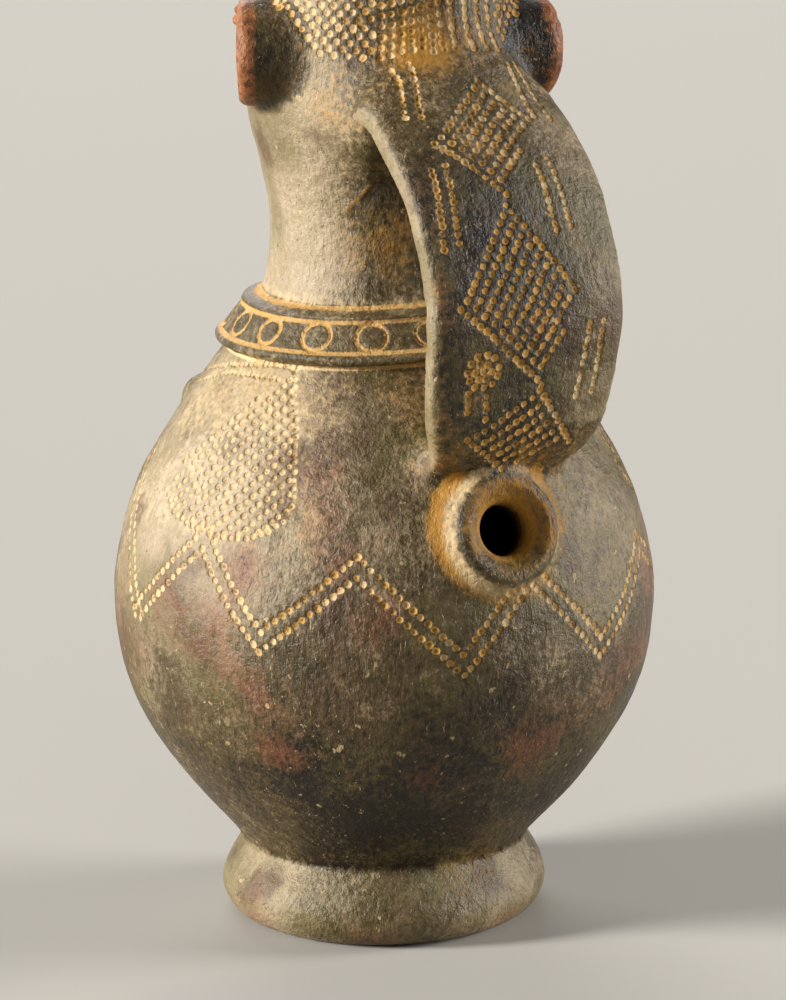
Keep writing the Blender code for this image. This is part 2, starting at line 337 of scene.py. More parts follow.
def settle(form, rounds):
    # brings the outer points onto the outside, a little at a time, and eases tight corners
    for step in range(rounds):
        tight = []
        for vert in form.verts:
            if isInner(vert.co):
                continue
            gap, slope = clayReach(vert.co)[:2]
            steep = max(slope.length, 0.3)
            vert.co -= slope * min(max(gap / steep ** 2, -1.5), 1.5)
            if steep < 0.75:
                tight.append(vert)
        if step < rounds - 1:
            bmesh.ops.smooth_vert(form, verts=tight, factor=0.5, use_axis_x=True, use_axis_y=True,
                                  use_axis_z=True)


def isInner(point):
    if point.z < 14 and point.xy.length < 44:
        return True
    return any(tree.find_nearest(point, 0.25)[0] is not None for tree in hollows)


def collarLift(x, y):
    turn = math.atan2(-x, y)
    return (collar["tilt"] * math.cos(turn - collar["highTurn"])
            - collar["wave"] * math.cos(2 * (turn - collar["lowTurn"])))


def asObject(form, name):
    data = bpy.data.meshes.new(name)
    form.to_mesh(data)
    item = bpy.data.objects.new(name, data)
    bpy.context.scene.collection.objects.link(item)
    return item


def changed(item):
    # the object's mesh with its modifiers, as a bmesh
    seen = item.evaluated_get(bpy.context.evaluated_depsgraph_get())
    form = bmesh.new()
    form.from_mesh(seen.to_mesh())
    return form


def remeshed(form):
    # one closed skin round all that overlaps
    item = asObject(form, "rough_jar")
    remesh = item.modifiers.new("remesh", "REMESH")
    remesh.mode = "VOXEL"
    remesh.voxel_size = mesh["voxel"]
    result = changed(item)
    bpy.data.objects.remove(item)
    return result


def fused():
    whole = bmesh.new()
    for form in forms:
        data = bpy.data.meshes.new("part")
        form["mesh"].to_mesh(data)
        whole.from_mesh(data)
        bpy.data.meshes.remove(data)
    result = remeshed(whole)
    settle(result, 4)
    result = remeshed(result)
    settle(result, 1)
    return result


def hollowed(form, cutters):
    item = asObject(form, "closed_jar")
    group = bpy.data.collections.new("hollow")
    bpy.context.scene.collection.children.link(group)
    for cutter in cutters:
        piece = asObject(cutter, "cutter")
        bpy.context.scene.collection.objects.unlink(piece)
        group.objects.link(piece)
    step = item.modifiers.new("hollow", "BOOLEAN")
    step.operation = "DIFFERENCE"
    step.solver = "EXACT"
    step.operand_type = "COLLECTION"
    step.collection = group
    result = changed(item)
    for piece in [item, *group.objects]:
        bpy.data.objects.remove(piece)
    bpy.data.collections.remove(group)
    return result


forms = [clayForm(bodyForm(), 0), clayForm(strapForm(), strap["blend"]),
         clayForm(onSpout(spout["section"]), spout["blend"]),
         clayForm(earForm(1), ear["blend"]), clayForm(earForm(-1), ear["blend"])]
forms += [clayForm(form, blend) for form, blend in pressedOn()]
cutters = [turned(between(cavity["curve"], cavity["steps"]) + [(0, 450)], cavity["segments"]),
           onSpout(spout["bore"])]
hollows = [BVHTree.FromBMesh(cutter) for cutter in cutters]
clay = fused()
print("fused", len(clay.verts))
clay = hollowed(clay, cutters)
bmesh.ops.remove_doubles(clay, verts=clay.verts, dist=0.02)
bmesh.ops.triangulate(clay, faces=clay.faces)
print("hollowed", len(clay.verts), "open edges", sum(not edge.is_manifold for edge in clay.edges))


# stamped patterns

stamp = {"pitch": 3.8, "radius": 1.72, "depth": 0.85, "lip": 0.1, "jitter": 0.26}
belly = {
    # (turn in degrees, height) round the belly
    "zigzag": [(-91.3, 140.3), (-71.2, 177.5), (-54.6, 140.1), (-34.6, 171.8), (-12.7, 132.4), (2.5, 167),
               (21.6, 130.8), (43.9, 165.9), (66, 132), (87, 168), (108, 134), (128, 169), (148, 134),
               (166, 168), (184, 134), (203, 169), (222, 137), (243, 203)],
    "steep": [(-91.3, 140.3), (-97, 159), (-106, 180), (-117, 203)],
    "bands": [[(-60, 242.4), (-71.2, 242.2), (-83.3, 241), (-94.7, 239), (-106, 236), (-119, 232)],
              [(-66, 237.3), (-77.5, 237.8), (-88.1, 237.2), (-96.9, 234.7), (-106, 231.3), (-117, 227.5)]],
    "leaf": [(-60.6, 240.9), (-54.9, 224), (-52.2, 210), (-50, 195.5), (-51.5, 187.7), (-55.3, 182.3),
             (-61.2, 178.9), (-68.1, 178.6), (-76.6, 180.9), (-83.5, 184), (-88.6, 189.5), (-89.6, 196),
             (-88.5, 203), (-84.4, 211.5), (-74, 226.5)],
    # millimetres per degree of turn, where each pattern lies
    "scale": 1.93, "bandScale": 1.3, "leafScale": 1.6,
    "rowHalf": 3.0, "bandPitch": 3.2, "leafEdgeCorners": 11,
    "leafRows": {"heading": 44.5, "gap": 4.6, "pitch": 3.5, "inset": 2.6},
    "bandSize": 0.85, "leafSize": 0.9,
}
strapRows = {
    # (across, along) on the outer face, across towards +X and along from the head down
    "diamonds": [[(-3.8, 25.4), (25.8, 53.2), (3.5, 79.5), (-19.8, 44.8)],
                 [(4.7, 83.4), (31.7, 123.4), (-6.1, 156.5), (-19.9, 119.4)],
                 [(-5.5, 158.8), (24, 178.3), (4.5, 194), (-24, 183.7)]],
    "strips": [[(25, 8), (32, 37.5)], [(19.1, 10), (26.2, 39)], [(-21.8, 14), (-23, 43)],
               [(-26, 10), (-31, 43)], [(31.2, 64.9), (34.7, 99)], [(25.3, 63.8), (28.2, 97)],
               [(-14.4, 67.2), (-15.8, 95.2)], [(-21, 64), (-22.9, 93.6)], [(-26.4, 133), (-22.8, 163)],
               [(-32.9, 133), (-30.5, 162)], [(26.6, 158), (25.9, 166)], [(18.6, 159.5), (17.6, 169)]],
    "rows": {"gap": 5.0, "pitch": 3.8, "inset": 0.6}, "edgePitch": 3.5, "clearance": 2.4,
    "stripPitch": 3.2, "stripSize": 0.93,
    # count and radius of the dots round the rosette's middle
    "rosette": (21, 149.2), "rosetteRings": ((1, 0), (6, 3.4), (11, 6.9)), "rosetteSize": 1.05,
}
hair = {
    "left": [(-84, 389), (-57, 366.5), (-33, 364.5), (-33, 413), (-97, 413), (-93, 401)],
    "middle": [(-31, 364.5), (-4, 365), (-4, 413), (-31, 413)],
    "right": [(25, 372), (30, 369), (52, 389), (61, 401), (65, 413), (25, 413)],
    "columns": (0, 7, 13.5, 20),
    "columnHeights": (366, 413), "columnPitch": 3.6, "scale": 0.96, "headings": (-48, 12, 48),
    "rows": {"gap": 4.1, "pitch": 3.9, "inset": 1.2}, "size": 1.02,
}


def rowAlong(corners, pitch):
    whole = sum(math.dist(a, b) for a, b in zip(corners, corners[1:]))
    count = max(round(whole / pitch), 1)
    points = []
    for step in range(count + 1):
        want = whole * step / count
        for a, b in zip(corners, corners[1:]):
            length = math.dist(a, b)
            if want <= length + 0.001:
                points.append((a[0] + (b[0] - a[0]) * want / length,
                               a[1] + (b[1] - a[1]) * want / length))
                break
            want -= length
    return points


def rowsInside(corners, heading, gap, pitch, inset):
    # parallel rows that fill an outline; heading in degrees
    c, s = math.cos(math.radians(heading)), math.sin(math.radians(heading))
    flat = [(x * c + y * s, y * c - x * s) for x, y in corners]
    low, high = min(y for x, y in flat), max(y for x, y in flat)
    count = max(round((high - low - 2 * inset) / gap), 1)
    for row in range(count + 1):
        level = low + inset + (high - low - 2 * inset) * row / count
        cross = []
        for (x0, y0), (x1, y1) in zip(flat, flat[1:] + flat[:1]):
            if (y0 > level) != (y1 > level):
                cross.append(x0 + (x1 - x0) * (level - y0) / (y1 - y0))
        cross.sort()
        for start, end in zip(cross[::2], cross[1::2]):
            if end - start > 2 * inset:
                for x, y in rowAlong([(start + inset, level), (end - inset, level)], pitch):
                    yield x * c - y * s, x * s + y * c


def doubleRow(corners, half):
    # two rows beside a bent line
    for side in (-1, 1):
        edge = []
        for number, (x, y) in enumerate(corners):
            before = corners[max(number - 1, 0)]
            after = corners[min(number + 1, len(corners) - 1)]
            ways = [Vector(pair).normalized() for pair in ((x - before[0], y - before[1]),
                                                           (after[0] - x, after[1] - y)) if any(pair)]
            way = sum(ways, Vector((0, 0))).normalized()
            shift = half / max(way.dot(ways[0]), 0.35)
            edge.append((x - side * way.y * shift, y + side * way.x * shift))
        for a, b in zip(edge, edge[1:]):
            yield from rowAlong([a, b], stamp["pitch"])[:-1]


def onBody(turn, height):
    way = Vector((-math.sin(math.radians(turn)), math.cos(math.radians(turn)), 0))
    place, normal, _, _ = forms[0]["tree"].ray_cast(way * 135 + Vector((0, 0, height)), -way)
    return place, normal


def onStrap(across, along):
    route = strapRoute()
    along += strap["lead"]
    for (middle, way, out, width, crown), (after, *_) in zip(route, route[1:]):
        step = (after - middle).length
        if along <= step:
            break
        along -= step
    sink = crown * ((across - strap["sideways"]) / width) ** 2
    return middle + way * along + Vector((across, 0, 0)) - out * sink, out


def dotPlaces():
    # each dot's (place, way out) and its share of the usual size
    scale = belly["scale"]
    for name in ("zigzag", "steep"):
        line = [(turn * scale, height) for turn, height in belly[name]]
        for x, y in doubleRow(line, belly["rowHalf"]):
            yield onBody(x / scale, y), 1
    scale = belly["bandScale"]
    for band in belly["bands"]:
        for x, y in rowAlong([(turn * scale, height) for turn, height in band], belly["bandPitch"]):
            yield onBody(x / scale, y), belly["bandSize"]
            yield onBody(-x / scale, y), belly["bandSize"]
    scale = belly["leafScale"]
    leaf = [(turn * scale, height) for turn, height in belly["leaf"]]
    edge = rowAlong(leaf[:belly["leafEdgeCorners"]], belly["bandPitch"])
    for x, y in list(rowsInside(leaf, **belly["leafRows"])) + edge:
        yield onBody(x / scale, y), belly["leafSize"]
        yield onBody(-x / scale, y), belly["leafSize"]
    for diamond in strapRows["diamonds"]:
        top, left, low, right = diamond
        heading = math.degrees(math.atan2(left[1] - top[1], left[0] - top[0]))
        points = list(rowsInside(diamond, heading, **strapRows["rows"]))
        for pair in ([top, right], [left, low]):
            for point in rowAlong(pair, strapRows["edgePitch"]):
                clear = [other for other in points if math.dist(point, other) > strapRows["clearance"]]
                points = clear + [point]
        for point in points:
            yield onStrap(*point), 1
    for strip in strapRows["strips"]:
        for point in rowAlong(strip, strapRows["stripPitch"]):
            yield onStrap(*point), strapRows["stripSize"]
    x, y = strapRows["rosette"]
    for count, radius in strapRows["rosetteRings"]:
        for step in range(count):
            angle = math.tau * step / count
            place = onStrap(x + radius * math.cos(angle), y + radius * math.sin(angle))
            yield place, strapRows["rosetteSize"]
    for name, heading in zip(("left", "middle", "right"), hair["headings"]):
        area = [(turn * hair["scale"], height) for turn, height in hair[name]]
        for x, y in rowsInside(area, heading, **hair["rows"]):
            yield onBody(x / hair["scale"], y), hair["size"]
    low, high = hair["columnHeights"]
    for turn in hair["columns"]:
        for x, y in rowAlong([(turn, low), (turn, high)], hair["columnPitch"]):
            yield onBody(x, y), 1


def shaken(size):
    return Vector([chance.uniform(-size, size) for axis in range(3)])


dots = []
for (place, normal), size in dotPlaces():
    if place is not None:
        for step in range(2):  # onto the skin, where it is filled beside a joint
            gap, slope = clayReach(place)[:2]
            place = place - slope * gap / slope.length_squared
        dots.append((place + shaken(stamp["jitter"]), stamp["radius"] * size * chance.uniform(0.84, 1.13),
                     stamp["depth"] * chance.uniform(0.65, 1.2), chance.uniform(0, 1)))
dotTree = KDTree(len(dots))
for number, (place, *rest) in enumerate(dots):
    dotTree.insert(place, number)
dotTree.balance()

rings = []
for number in range(collar["ringCount"]):
    degrees = collar["ringFirstTurn"] + 360 * number / collar["ringCount"] + chance.uniform(-0.7, 0.7)
    turn = math.radians(degrees)
    radius, height = collar["bandMiddle"]
    place = Vector((-math.sin(turn) * radius, math.cos(turn) * radius, height))
    place.z += collarLift(place.x, place.y)
    rings.append((place, chance.uniform(0.95, 1.07)))
print("dots", len(dots), "rings", len(rings))


# finer mesh where the clay is worked

scar = {
    # (turn, height, radius) of its two ends on the neck
    "ends": [(math.radians(-34.3), 315.3, 50.2), (math.radians(-48.1), 302.8, 47.9)],
    "waver": 0.7, "waverSize": 2.3, "ridge": 0.55,
}


def besideScar(point):
    # distance from the old scar
    start, end = [Vector((-math.sin(turn) * radius, math.cos(turn) * radius, height))
                  for turn, height, radius in scar["ends"]]
    along = end - start
    share = min(max((point - start).dot(along) / along.length_squared, 0), 1)
    away = (point - start - along * share).length
    return away + scar["waver"] * abs(noise.noise(point / scar["waverSize"]))


def wantedEdge(point, length):
    near = dotTree.find(point)
    if near[2] < stamp["radius"] * 1.25 + length * 0.4:
        return mesh["dotEdge"]
    radius = point.xy.length
    level = point.z - collarLift(point.x, point.y)
    if 243 < level < 269 and radius < 74:
        return mesh["collarEdge"]
    if point.y < -46 and 325 < point.z < 395:
        return mesh["faceEdge"]
    if besideScar(point) < 3:
        return mesh["scarEdge"]
    if point.z > 424 and radius > 27:
        return mesh["rimEdge"]
    for form in forms[2:5]:
        if all(form["low"][i] - 2 < point[i] < form["high"][i] + 2 for i in range(3)):
            if form is not forms[2] and point.x * math.copysign(1, form["low"][0]) > 57:
                return mesh["earEdge"]
            if form is forms[2] and reachOf(form, point)[0] < 4 and point.y > 92:
                return mesh["spoutEdge"]
    return mesh["plainEdge"]


for step in range(mesh["rounds"]):
    longEdges = []
    for edge in clay.edges:
        length = edge.calc_length()
        if length > 1.2:
            middle = (edge.verts[0].co + edge.verts[1].co) / 2
            wanted = wantedEdge(middle, length)
            if edge.calc_face_angle(0) > mesh["bend"]:
                wanted = min(wanted, mesh["bendEdge"])
            if length > 1.38 * wanted and not isInner(middle):
                longEdges.append(edge)
    bmesh.ops.subdivide_edges(clay, edges=longEdges, cuts=1, use_grid_fill=True, use_single_edge=True)
    bmesh.ops.triangulate(clay, faces=[face for face in clay.faces if len(face.verts) > 3])
    settle(clay, 2)
    print("refined", len(clay.faces))


# relief

def profileRadius(level):
    points = collar["profile"]
    for (low, near), (high, far) in zip(points, points[1:]):
        if low <= level < high:
            if not near or not far:
                return 0
            return near + (far - near) * (level - low) / (high - low)
    return 0


for vert in clay.verts:
    radius = vert.co.xy.length
    if 236 < vert.co.z < 275 and radius < 76 and not isInner(vert.co):
        turn = math.atan2(vert.co.x, vert.co.y)
        sway = noise.noise(Vector((math.cos(turn) * 2.2, math.sin(turn) * 2.2, 4.3))) * collar["wobble"]
        level = vert.co.z - collarLift(vert.co.x, vert.co.y) - sway
        swell = noise.noise(Vector((math.cos(turn) * 5, math.sin(turn) * 5, level * 0.09))) * 0.5
        wanted = profileRadius(level)
        if wanted and wanted + swell > radius - 0.3:
            vert.co.xy *= (wanted + swell) / radius
worked = [vert for vert in clay.verts if 238 < vert.co.z < 275 and vert.co.xy.length < 76
          and not isInner(vert.co)]
bmesh.ops.smooth_vert(clay, verts=worked, factor=0.35, use_axis_x=True, use_axis_y=True,
                      use_axis_z=True)
clay.normal_update()

route = strapRoute()
toSpout = Matrix.Rotation(spout["turn"], 3, "Z")
spoutAxis = toSpout @ Vector((0, math.cos(spout["tilt"]), math.sin(spout["tilt"])))
spoutCentre = toSpout @ Vector((0, *spout["face"]))
toHead = Matrix.Rotation(-headTurn, 3, "Z")


def strapPlace(point):
    # (across as a share of the half width, how deep under the outer face)
    flat = Vector((0, point.y, point.z))
    middle, way, out, width, crown = min(route, key=lambda station: (flat - station[0]).length_squared)
    across = (point.x - strap["sideways"]) / width
    return across, (middle - point).dot(out) - crown * min(across * across, 1)


def spoutPlace(point):
    # (how far out along the spout's axis, how far from it)
    away = point - spoutCentre
    reach = away.dot(spoutAxis)
    return reach, (away - spoutAxis * reach).length


def earPlace(point):
    # (how far in from the face of the nearer ear, how far from its axis)
    inHead = toHead @ point
    x, y, z = ear["centre"]
    inward, back = x - abs(inHead.x), inHead.y - y
    c, s = math.cos(ear["forward"]), math.sin(ear["forward"])
    return inward * c + back * s, math.hypot(back * c - inward * s, inHead.z - z)


def spot(point, turn, height, radius, size):
    # one at a place round the jar, falling softly to nought
    angle = math.radians(turn)
    place = Vector((-math.sin(angle) * radius, math.cos(angle) * radius, height))
    return math.exp(-(point - place).length_squared / size ** 2)


handWork = {"broad": 0.42, "broadSize": 34, "small": 0.22, "smallSize": 11, "fine": 0.12, "fineSize": 3.6}


def handSwell(point):
    # hand-built unevenness, kept inside the solid; none on the foot's flat edge
    swell = handWork["broad"] * noise.noise(point / handWork["broadSize"]) - handWork["broad"]
    swell += handWork["small"] * noise.noise(point / handWork["smallSize"] + Vector((9, 3, 5)))
    return fade(point.z, 9, 1) * swell


def fineSwell(point):
    swell = noise.noise(point / handWork["fineSize"] + Vector((2, 7, 1)))
    return handWork["fine"] * swell * fade(point.z, 9, 1)


def dotPress(point):
    # (push, share of the nearest dot's radius, how full of ochre that dot is)
    nearest, full = 2, 0.5
    pit = lip = 0
    for place, number, distance in dotTree.find_range(point, stamp["radius"] * 1.9):
        centre, size, depth, ochre = dots[number]
        share = distance / size
        if share < nearest:
            nearest, full = share, ochre
        if share < 1:
            pit = max(pit, depth * (1 - share ** 3) ** 1.3)
        lip = max(lip, stamp["lip"] * math.exp(-((share - 1.2) / 0.2) ** 2))
    return (-pit if pit > 0.02 else lip), nearest, full


def ringPress(point, level):
    # (push, share of the groove's half width that the point is away from its middle)
    groove, push = 2, 0
    for place, size in rings:
        if (point - place).length < 9:
            away = abs((point - place).length - collar["ringRadius"] * size) / collar["ringWidth"]
            groove = min(groove, away)
            push -= collar["ringDepth"] * fade(away, 0.25, 1.05)
    crease = min(abs(level - height) for height in collar["creases"])
    return push, min(groove, crease / 0.75)


def eyeSlit(point):
    # the closed lids' slit, on each side of the face
    inHead = toHead @ point
    aside = abs(abs(inHead.x) - 17)
    if inHead.y > -50 or aside > 9 or abs(inHead.z - 371) > 3:
        return 0
    return -0.6 * fade(abs(inHead.z - 371.2 + (aside / 9) ** 2 * 1.2), 0.1, 1.2) * fade(aside, 6, 9)


stainsAndShadow = {
    # golden residue, and lighter or darker clay, the darker spot on the neck partly a painted shadow of the
    # strap: (how much, turn, height, radius there, size)
    "golden": [(0.5, -14, 238, 74, 20), (0.35, 4, 214, 94, 16), (0.55, -24, 292, 48, 20),
               (0.3, 6, 33, 62, 26), (1, -14, 371, 57, 12), (0.5, -8, 388, 56, 9)],
    "light": [(0.3, -22, 203, 98, 28), (0.2, 2, 130, 113, 34), (-0.22, -26, 300, 48, 22)],
    # red firing marks: (turn, height, radius, size)
    "red": [(-60, 168, 110, 15), (-46, 205, 94, 12), (-41, 188, 102, 13), (-38, 172, 108, 10),
            (-80, 150, 112, 19), (-66, 140, 113, 17), (-56, 122, 112, 15), (8, 98, 106, 20),
            (34, 120, 111, 21), (-20, 84, 99, 12), (46, 150, 112, 18), (58, 176, 106, 13),
            (-100, 130, 112, 20), (-30, 150, 112, 12), (-80, 6, 67, 13), (-36, 4, 67, 15),
            (-52, 92, 103, 14), (24, 5, 68, 12), (130, 110, 108, 26), (-150, 170, 108, 22),
            (170, 80, 96, 20), (-95, 320, 48, 9), (100, 190, 100, 18), (-120, 90, 100, 16),
            (150, 300, 48, 12), (-4, 330, 112, 14)],
}


def spots(point, places):
    return sum(much * spot(point, *place) for much, *place in places)


def spoutResidue(point):
    # golden round the spout's root, on its face and at the bore's edge, cream on its left that is partly
    # painted light on the lit side, a dark rim
    reach, ring = spoutPlace(point)
    if reach < -30 or ring > 40:
        return 0, 0, 0
    left = min(max((point.x - spoutCentre.x) / 26, -1), 1)
    up = min(max((point.z - spoutCentre.z) / 26, -1), 1)
    golden = fade(abs(ring - 28.2), 0.8, 4) * fade(reach, -7, -2) * (0.75 + 0.3 * left + 0.25 * up)
    golden += 0.5 * fade(ring, 18, 23) + 0.5 * fade(abs(ring - 11.5), 0.6, 2.4)
    cream = 0.65 * fade(abs(ring - 25), 1, 4) * fade(abs(reach + 5), 3, 7) * (0.6 + 0.4 * left)
    return golden, cream, -0.25 * fade(abs(ring - 21.5), 0.8, 2.6) * fade(abs(reach), 1, 3)


def residueAndPaintedLight(point, level, filled, radius, turn):
    # how much golden ochre and cream dust a place has, and its lightness, which holds painted light and
    # shade besides the clay's own tone; level is its height by the collar
    golden, cream, light = spoutResidue(point)
    golden += 0.5 * fade(besideScar(point), 0.3, 1.5) + 0.35 * filled * (point.z > 338)
    golden += spots(point, stainsAndShadow["golden"])
    golden += 0.25 * fade(abs(turn), 12, 40) * fade(abs(point.z - 205), 10, 45)  # round the strap's foot
    cream += 0.3 * filled
    cream += 0.25 * fade(abs(point.z - 33), 2, 7) * (0.5 + noise.noise(point / 13))  # over the foot
    cream += 0.5 * fade(abs(level - 269), 1, 6) * (radius < 60)  # over the collar
    if radius < 92:
        # under the collar
        cream += 0.25 * fade(abs(turn + 76), 18, 42) * fade(abs(level - 236), 8, 24)
        golden += 0.25 * fade(abs(turn + 60), 20, 50) * fade(abs(level - 240), 2, 10)
    cream += 0.35 * fade(abs(turn + 72), 26, 44) * fade(abs(point.z - 208), 26, 44)  # leaf panel
    cream += 0.3 * (level > 366) * fade(point.z, 425, 405)  # hair
    light += 0.3 + spots(point, stainsAndShadow["light"])
    light += 0.85 * fade(abs(turn + 92), 22, 64) * (level > 268)  # painted key light on the left side of the neck
    if level < 245:
        # both sides of the belly: painted key light on the left, a painted sheen on the right
        light += 0.65 * fade(abs(turn + 80), 12, 46) + 0.3 * fade(abs(turn - 30), 8, 34)
        light += 0.2 * fade(abs(turn + 88), 30, 74) * fade(abs(point.z - 215), 35, 90)
    light -= 0.75 * fade(point.z, 60, 185) * (point.z > 33)  # low belly darker, partly the clay's own dark tone and partly painted shade
    # painted highlight low on the foot, towards the right
    light += 0.35 * fade(abs(turn - 12), 8, 34) * fade(point.z, 30, 34)
    return golden, cream, light


# what an unmarked place has
plain = {"stamp": 2, "full": 0.5, "groove": 2, "dust": 0, "rust": 0, "red": 0, "wear": 0, "toneAndPaintedLight": 0,
         "inside": 0}
attributes = {name: [] for name in plain}
shifts = []
for vert in clay.verts:
    point = vert.co.copy()
    inner = isInner(point)
    radius = point.xy.length
    turn = math.degrees(math.atan2(-point.x, point.y))
    level = point.z - collarLift(point.x, point.y)
    values = dict(plain)
    push = filled = 0
    if inner:
        reach, ring = spoutPlace(point)
        values["inside"] = 1 - max(fade(reach, -4, -13) * (ring < 25),
                                   fade(point.z, 440, 430) * (point.z > 424))
    else:
        filled = clayReach(point)[2]
        onCollar = 240 < level < 270 and radius < 74
        push, values["stamp"], values["full"] = dotPress(point)
        push += handSwell(point) + eyeSlit(point) + scar["ridge"] * fade(besideScar(point), 0.2, 1.5)
        if onCollar:
            pressed, values["groove"] = ringPress(point, level)
            push += pressed
        else:
            push += fineSwell(point)
    if values["inside"] < 1:
        values["rust"], values["dust"], values["toneAndPaintedLight"] = residueAndPaintedLight(point, level, filled, radius, turn)
        values["red"] = sum(spot(point, *place) for place in stainsAndShadow["red"])
        across, deep = strapPlace(point) if radius > 56 and point.z > 196 else (9, 99)
        if abs(across) < 1.05 and -3 < deep < 16 and point.y > 40:
            # dark outer face, lighter to the right as a painted sheen and lighter at the top, pale sides,
            # one edge worn
            shine = 0.75 * fade(across, -0.75, 0) * (point.z > 225) + 0.45 * fade(point.z, 345, 295)
            values["toneAndPaintedLight"] += 0.6 - fade(deep, 1.5, 4) * (1.15 - min(shine, 0.8))
            if across > 0.8:
                values["wear"] = 0.42 * fade(abs(deep - 1.6), 0.4, 2.2)
        deep, ring = earPlace(point)
        if deep < 33 and ring < 27:
            onDrum = fade(deep, 24, 33) * fade(ring, 23.5, 26)
            values["wear"] = 0.95 * fade(deep, 6, 11) * fade(ring, 23.5, 26)
            values["toneAndPaintedLight"] -= 0.9 * onDrum
            values["dust"] *= 1 - onDrum
    for name, value in values.items():
        attributes[name].append(value)
    shifts.append(vert.normal * push)
for vert, shift in zip(clay.verts, shifts):
    vert.co += shift
print("relief done")

# into metres, on the object's own origin and inside the solid's box
bmesh.ops.translate(clay, verts=clay.verts, vec=(0, -axisForward, 0))
bmesh.ops.scale(clay, verts=clay.verts, vec=(mm, mm, mm))
low, high = cadBox
for vert in clay.verts:
    vert.co = [min(max(vert.co[i], low[i]), high[i]) for i in range(3)]
bmesh.ops.recalc_face_normals(clay, faces=clay.faces)
jar = asObject(clay, "fired_clay_jar")
jar.data.shade_smooth()
for name, values in attributes.items():
    jar.data.attributes.new(name, "FLOAT", "POINT").data.foreach_set("value", values)
print("jar", len(jar.data.polygons), "faces, open edges", sum(not edge.is_manifold for edge in clay.edges))
clay.free()


# fired clay

def tint(text):
    # a screen colour as the renderer wants it
    parts = [int(text[i:i + 2], 16) / 255 for i in (1, 3, 5)]
    return (*[p / 12.92 if p < 0.04045 else ((p + 0.055) / 1.055) ** 2.4 for p in parts], 1)


clayColours = {
    "dark": "#1a130a", "middle": "#4a3c22", "light": "#938163", "pale": "#d2bfa7",
    "olive": "#5a5128", "plum": "#4b3122", "red": "#713a26", "orangeRed": "#ab673c",
    "ochre": "#bb8d44", "ochreDark": "#63461a", "cream": "#c6a97b", "rust": "#a06f1c",
    "soot": "#171209", "inside": "#4a3a24",
}
material = bpy.data.materials.new("fired_clay")
material.use_nodes = True
tree = material.node_tree
shader = tree.nodes["Principled BSDF"]


def add(kind, inputs=None, **settings):
    item = tree.nodes.new("ShaderNode" + kind)
    for name, value in settings.items():
        setattr(item, name, value)
    for name, value in (inputs or {}).items():
        if isinstance(value, bpy.types.NodeSocket):
            tree.links.new(value, item.inputs[name])
        else:
            item.inputs[name].default_value = value
    return item


def sums(operation, first, second, clamp=False):
    return add("Math", {0: first, 1: second}, operation=operation, use_clamp=clamp).outputs[0]


def ramp(value, low, high):
    # nought under low, one over high, smooth between
    return add("MapRange", {"Value": value, "From Min": low, "From Max": high},
               interpolation_type="SMOOTHSTEP").outputs["Result"]


def layer(under, over, share):
    return add("Mix", {0: share, 6: under, 7: over}, data_type="RGBA").outputs[2]


def grain(scale, detail=3, roughness=0.55, vector=None, distortion=0):
    return add("TexNoise", {"Vector": vector or coords, "Scale": scale, "Detail": detail,
                            "Roughness": roughness, "Distortion": distortion}).outputs[0]


def stretched(x, y, z):
    return add("Mapping", {"Vector": coords, "Scale": (x, y, z)}).outputs[0]


def spread(name):
    return add("Attribute", attribute_name=name).outputs["Fac"]


def mixed(value, amount):
    # a noise round nought, by so much
    return sums("MULTIPLY", sums("SUBTRACT", value, 0.5), amount)


def total(*values):
    result = values[0]
    for value in values[1:]:
        result = sums("ADD", result, value)
    return result


coords = add("TexCoord").outputs["Object"]
broad = grain(13, 3)
patch = grain(48, 5, 0.62, distortion=0.4)
fine = grain(360, 4, 0.66)
grit = grain(1250, 3, 0.65)
strokes = grain(300, 3, 0.6, stretched(1.5, 1.5, 0.5), 0.6)
coarse = grain(150, 3, 0.55)

# body colour from dark to light
mottle = total(mixed(broad, 0.6), mixed(patch, 0.85), mixed(fine, 0.8), mixed(strokes, 0.5),
               mixed(grit, 0.4))
# the tone holds the clay's own lightness together with painted light and shade, and the body colour follows
# it
calm = sums("SUBTRACT", 1.1, sums("MULTIPLY", spread("toneAndPaintedLight"), 0.55), True)
shade = total(sums("MULTIPLY", spread("toneAndPaintedLight"), 0.5), 0.37, sums("MULTIPLY", mottle, calm))
colour = layer(tint(clayColours["dark"]), tint(clayColours["middle"]), ramp(shade, 0.12, 0.5))
colour = layer(colour, tint(clayColours["light"]), ramp(shade, 0.46, 0.88))
colour = layer(colour, tint(clayColours["pale"]), ramp(shade, 0.84, 1.3))
olive = sums("MULTIPLY", ramp(grain(17, 3), 0.42, 0.62), ramp(shade, -0.1, 0.9))
colour = layer(colour, tint(clayColours["olive"]), sums("MULTIPLY", olive, 0.6))
plum = sums("MULTIPLY", ramp(grain(31, 4, 0.6), 0.53, 0.66), ramp(shade, -0.1, 0.8))
colour = layer(colour, tint(clayColours["plum"]), sums("MULTIPLY", plum, 0.6))

redEdge = total(spread("red"), mixed(patch, 2.8), mixed(strokes, 2.0), mixed(fine, 1.2))
colour = layer(colour, tint(clayColours["red"]), sums("MULTIPLY", ramp(redEdge, 0.4, 1.3), 0.45))

# pale chips and scratches, dark pits
chip = ramp(total(grain(170, 2, 0.5), mixed(fine, 0.25)), 0.715, 0.745)
scratch = ramp(grain(330, 2, 0.4, stretched(2.6, 2.6, 0.4), 1.2), 0.69, 0.73)
colour = layer(colour, tint(clayColours["cream"]), sums("MULTIPLY", sums("MAXIMUM", chip, scratch), 0.5))
soot = ramp(total(grain(520, 3, 0.6), mixed(patch, 0.2)), 0.61, 0.7)
colour = layer(colour, tint(clayColours["soot"]), sums("MULTIPLY", soot, 0.5))

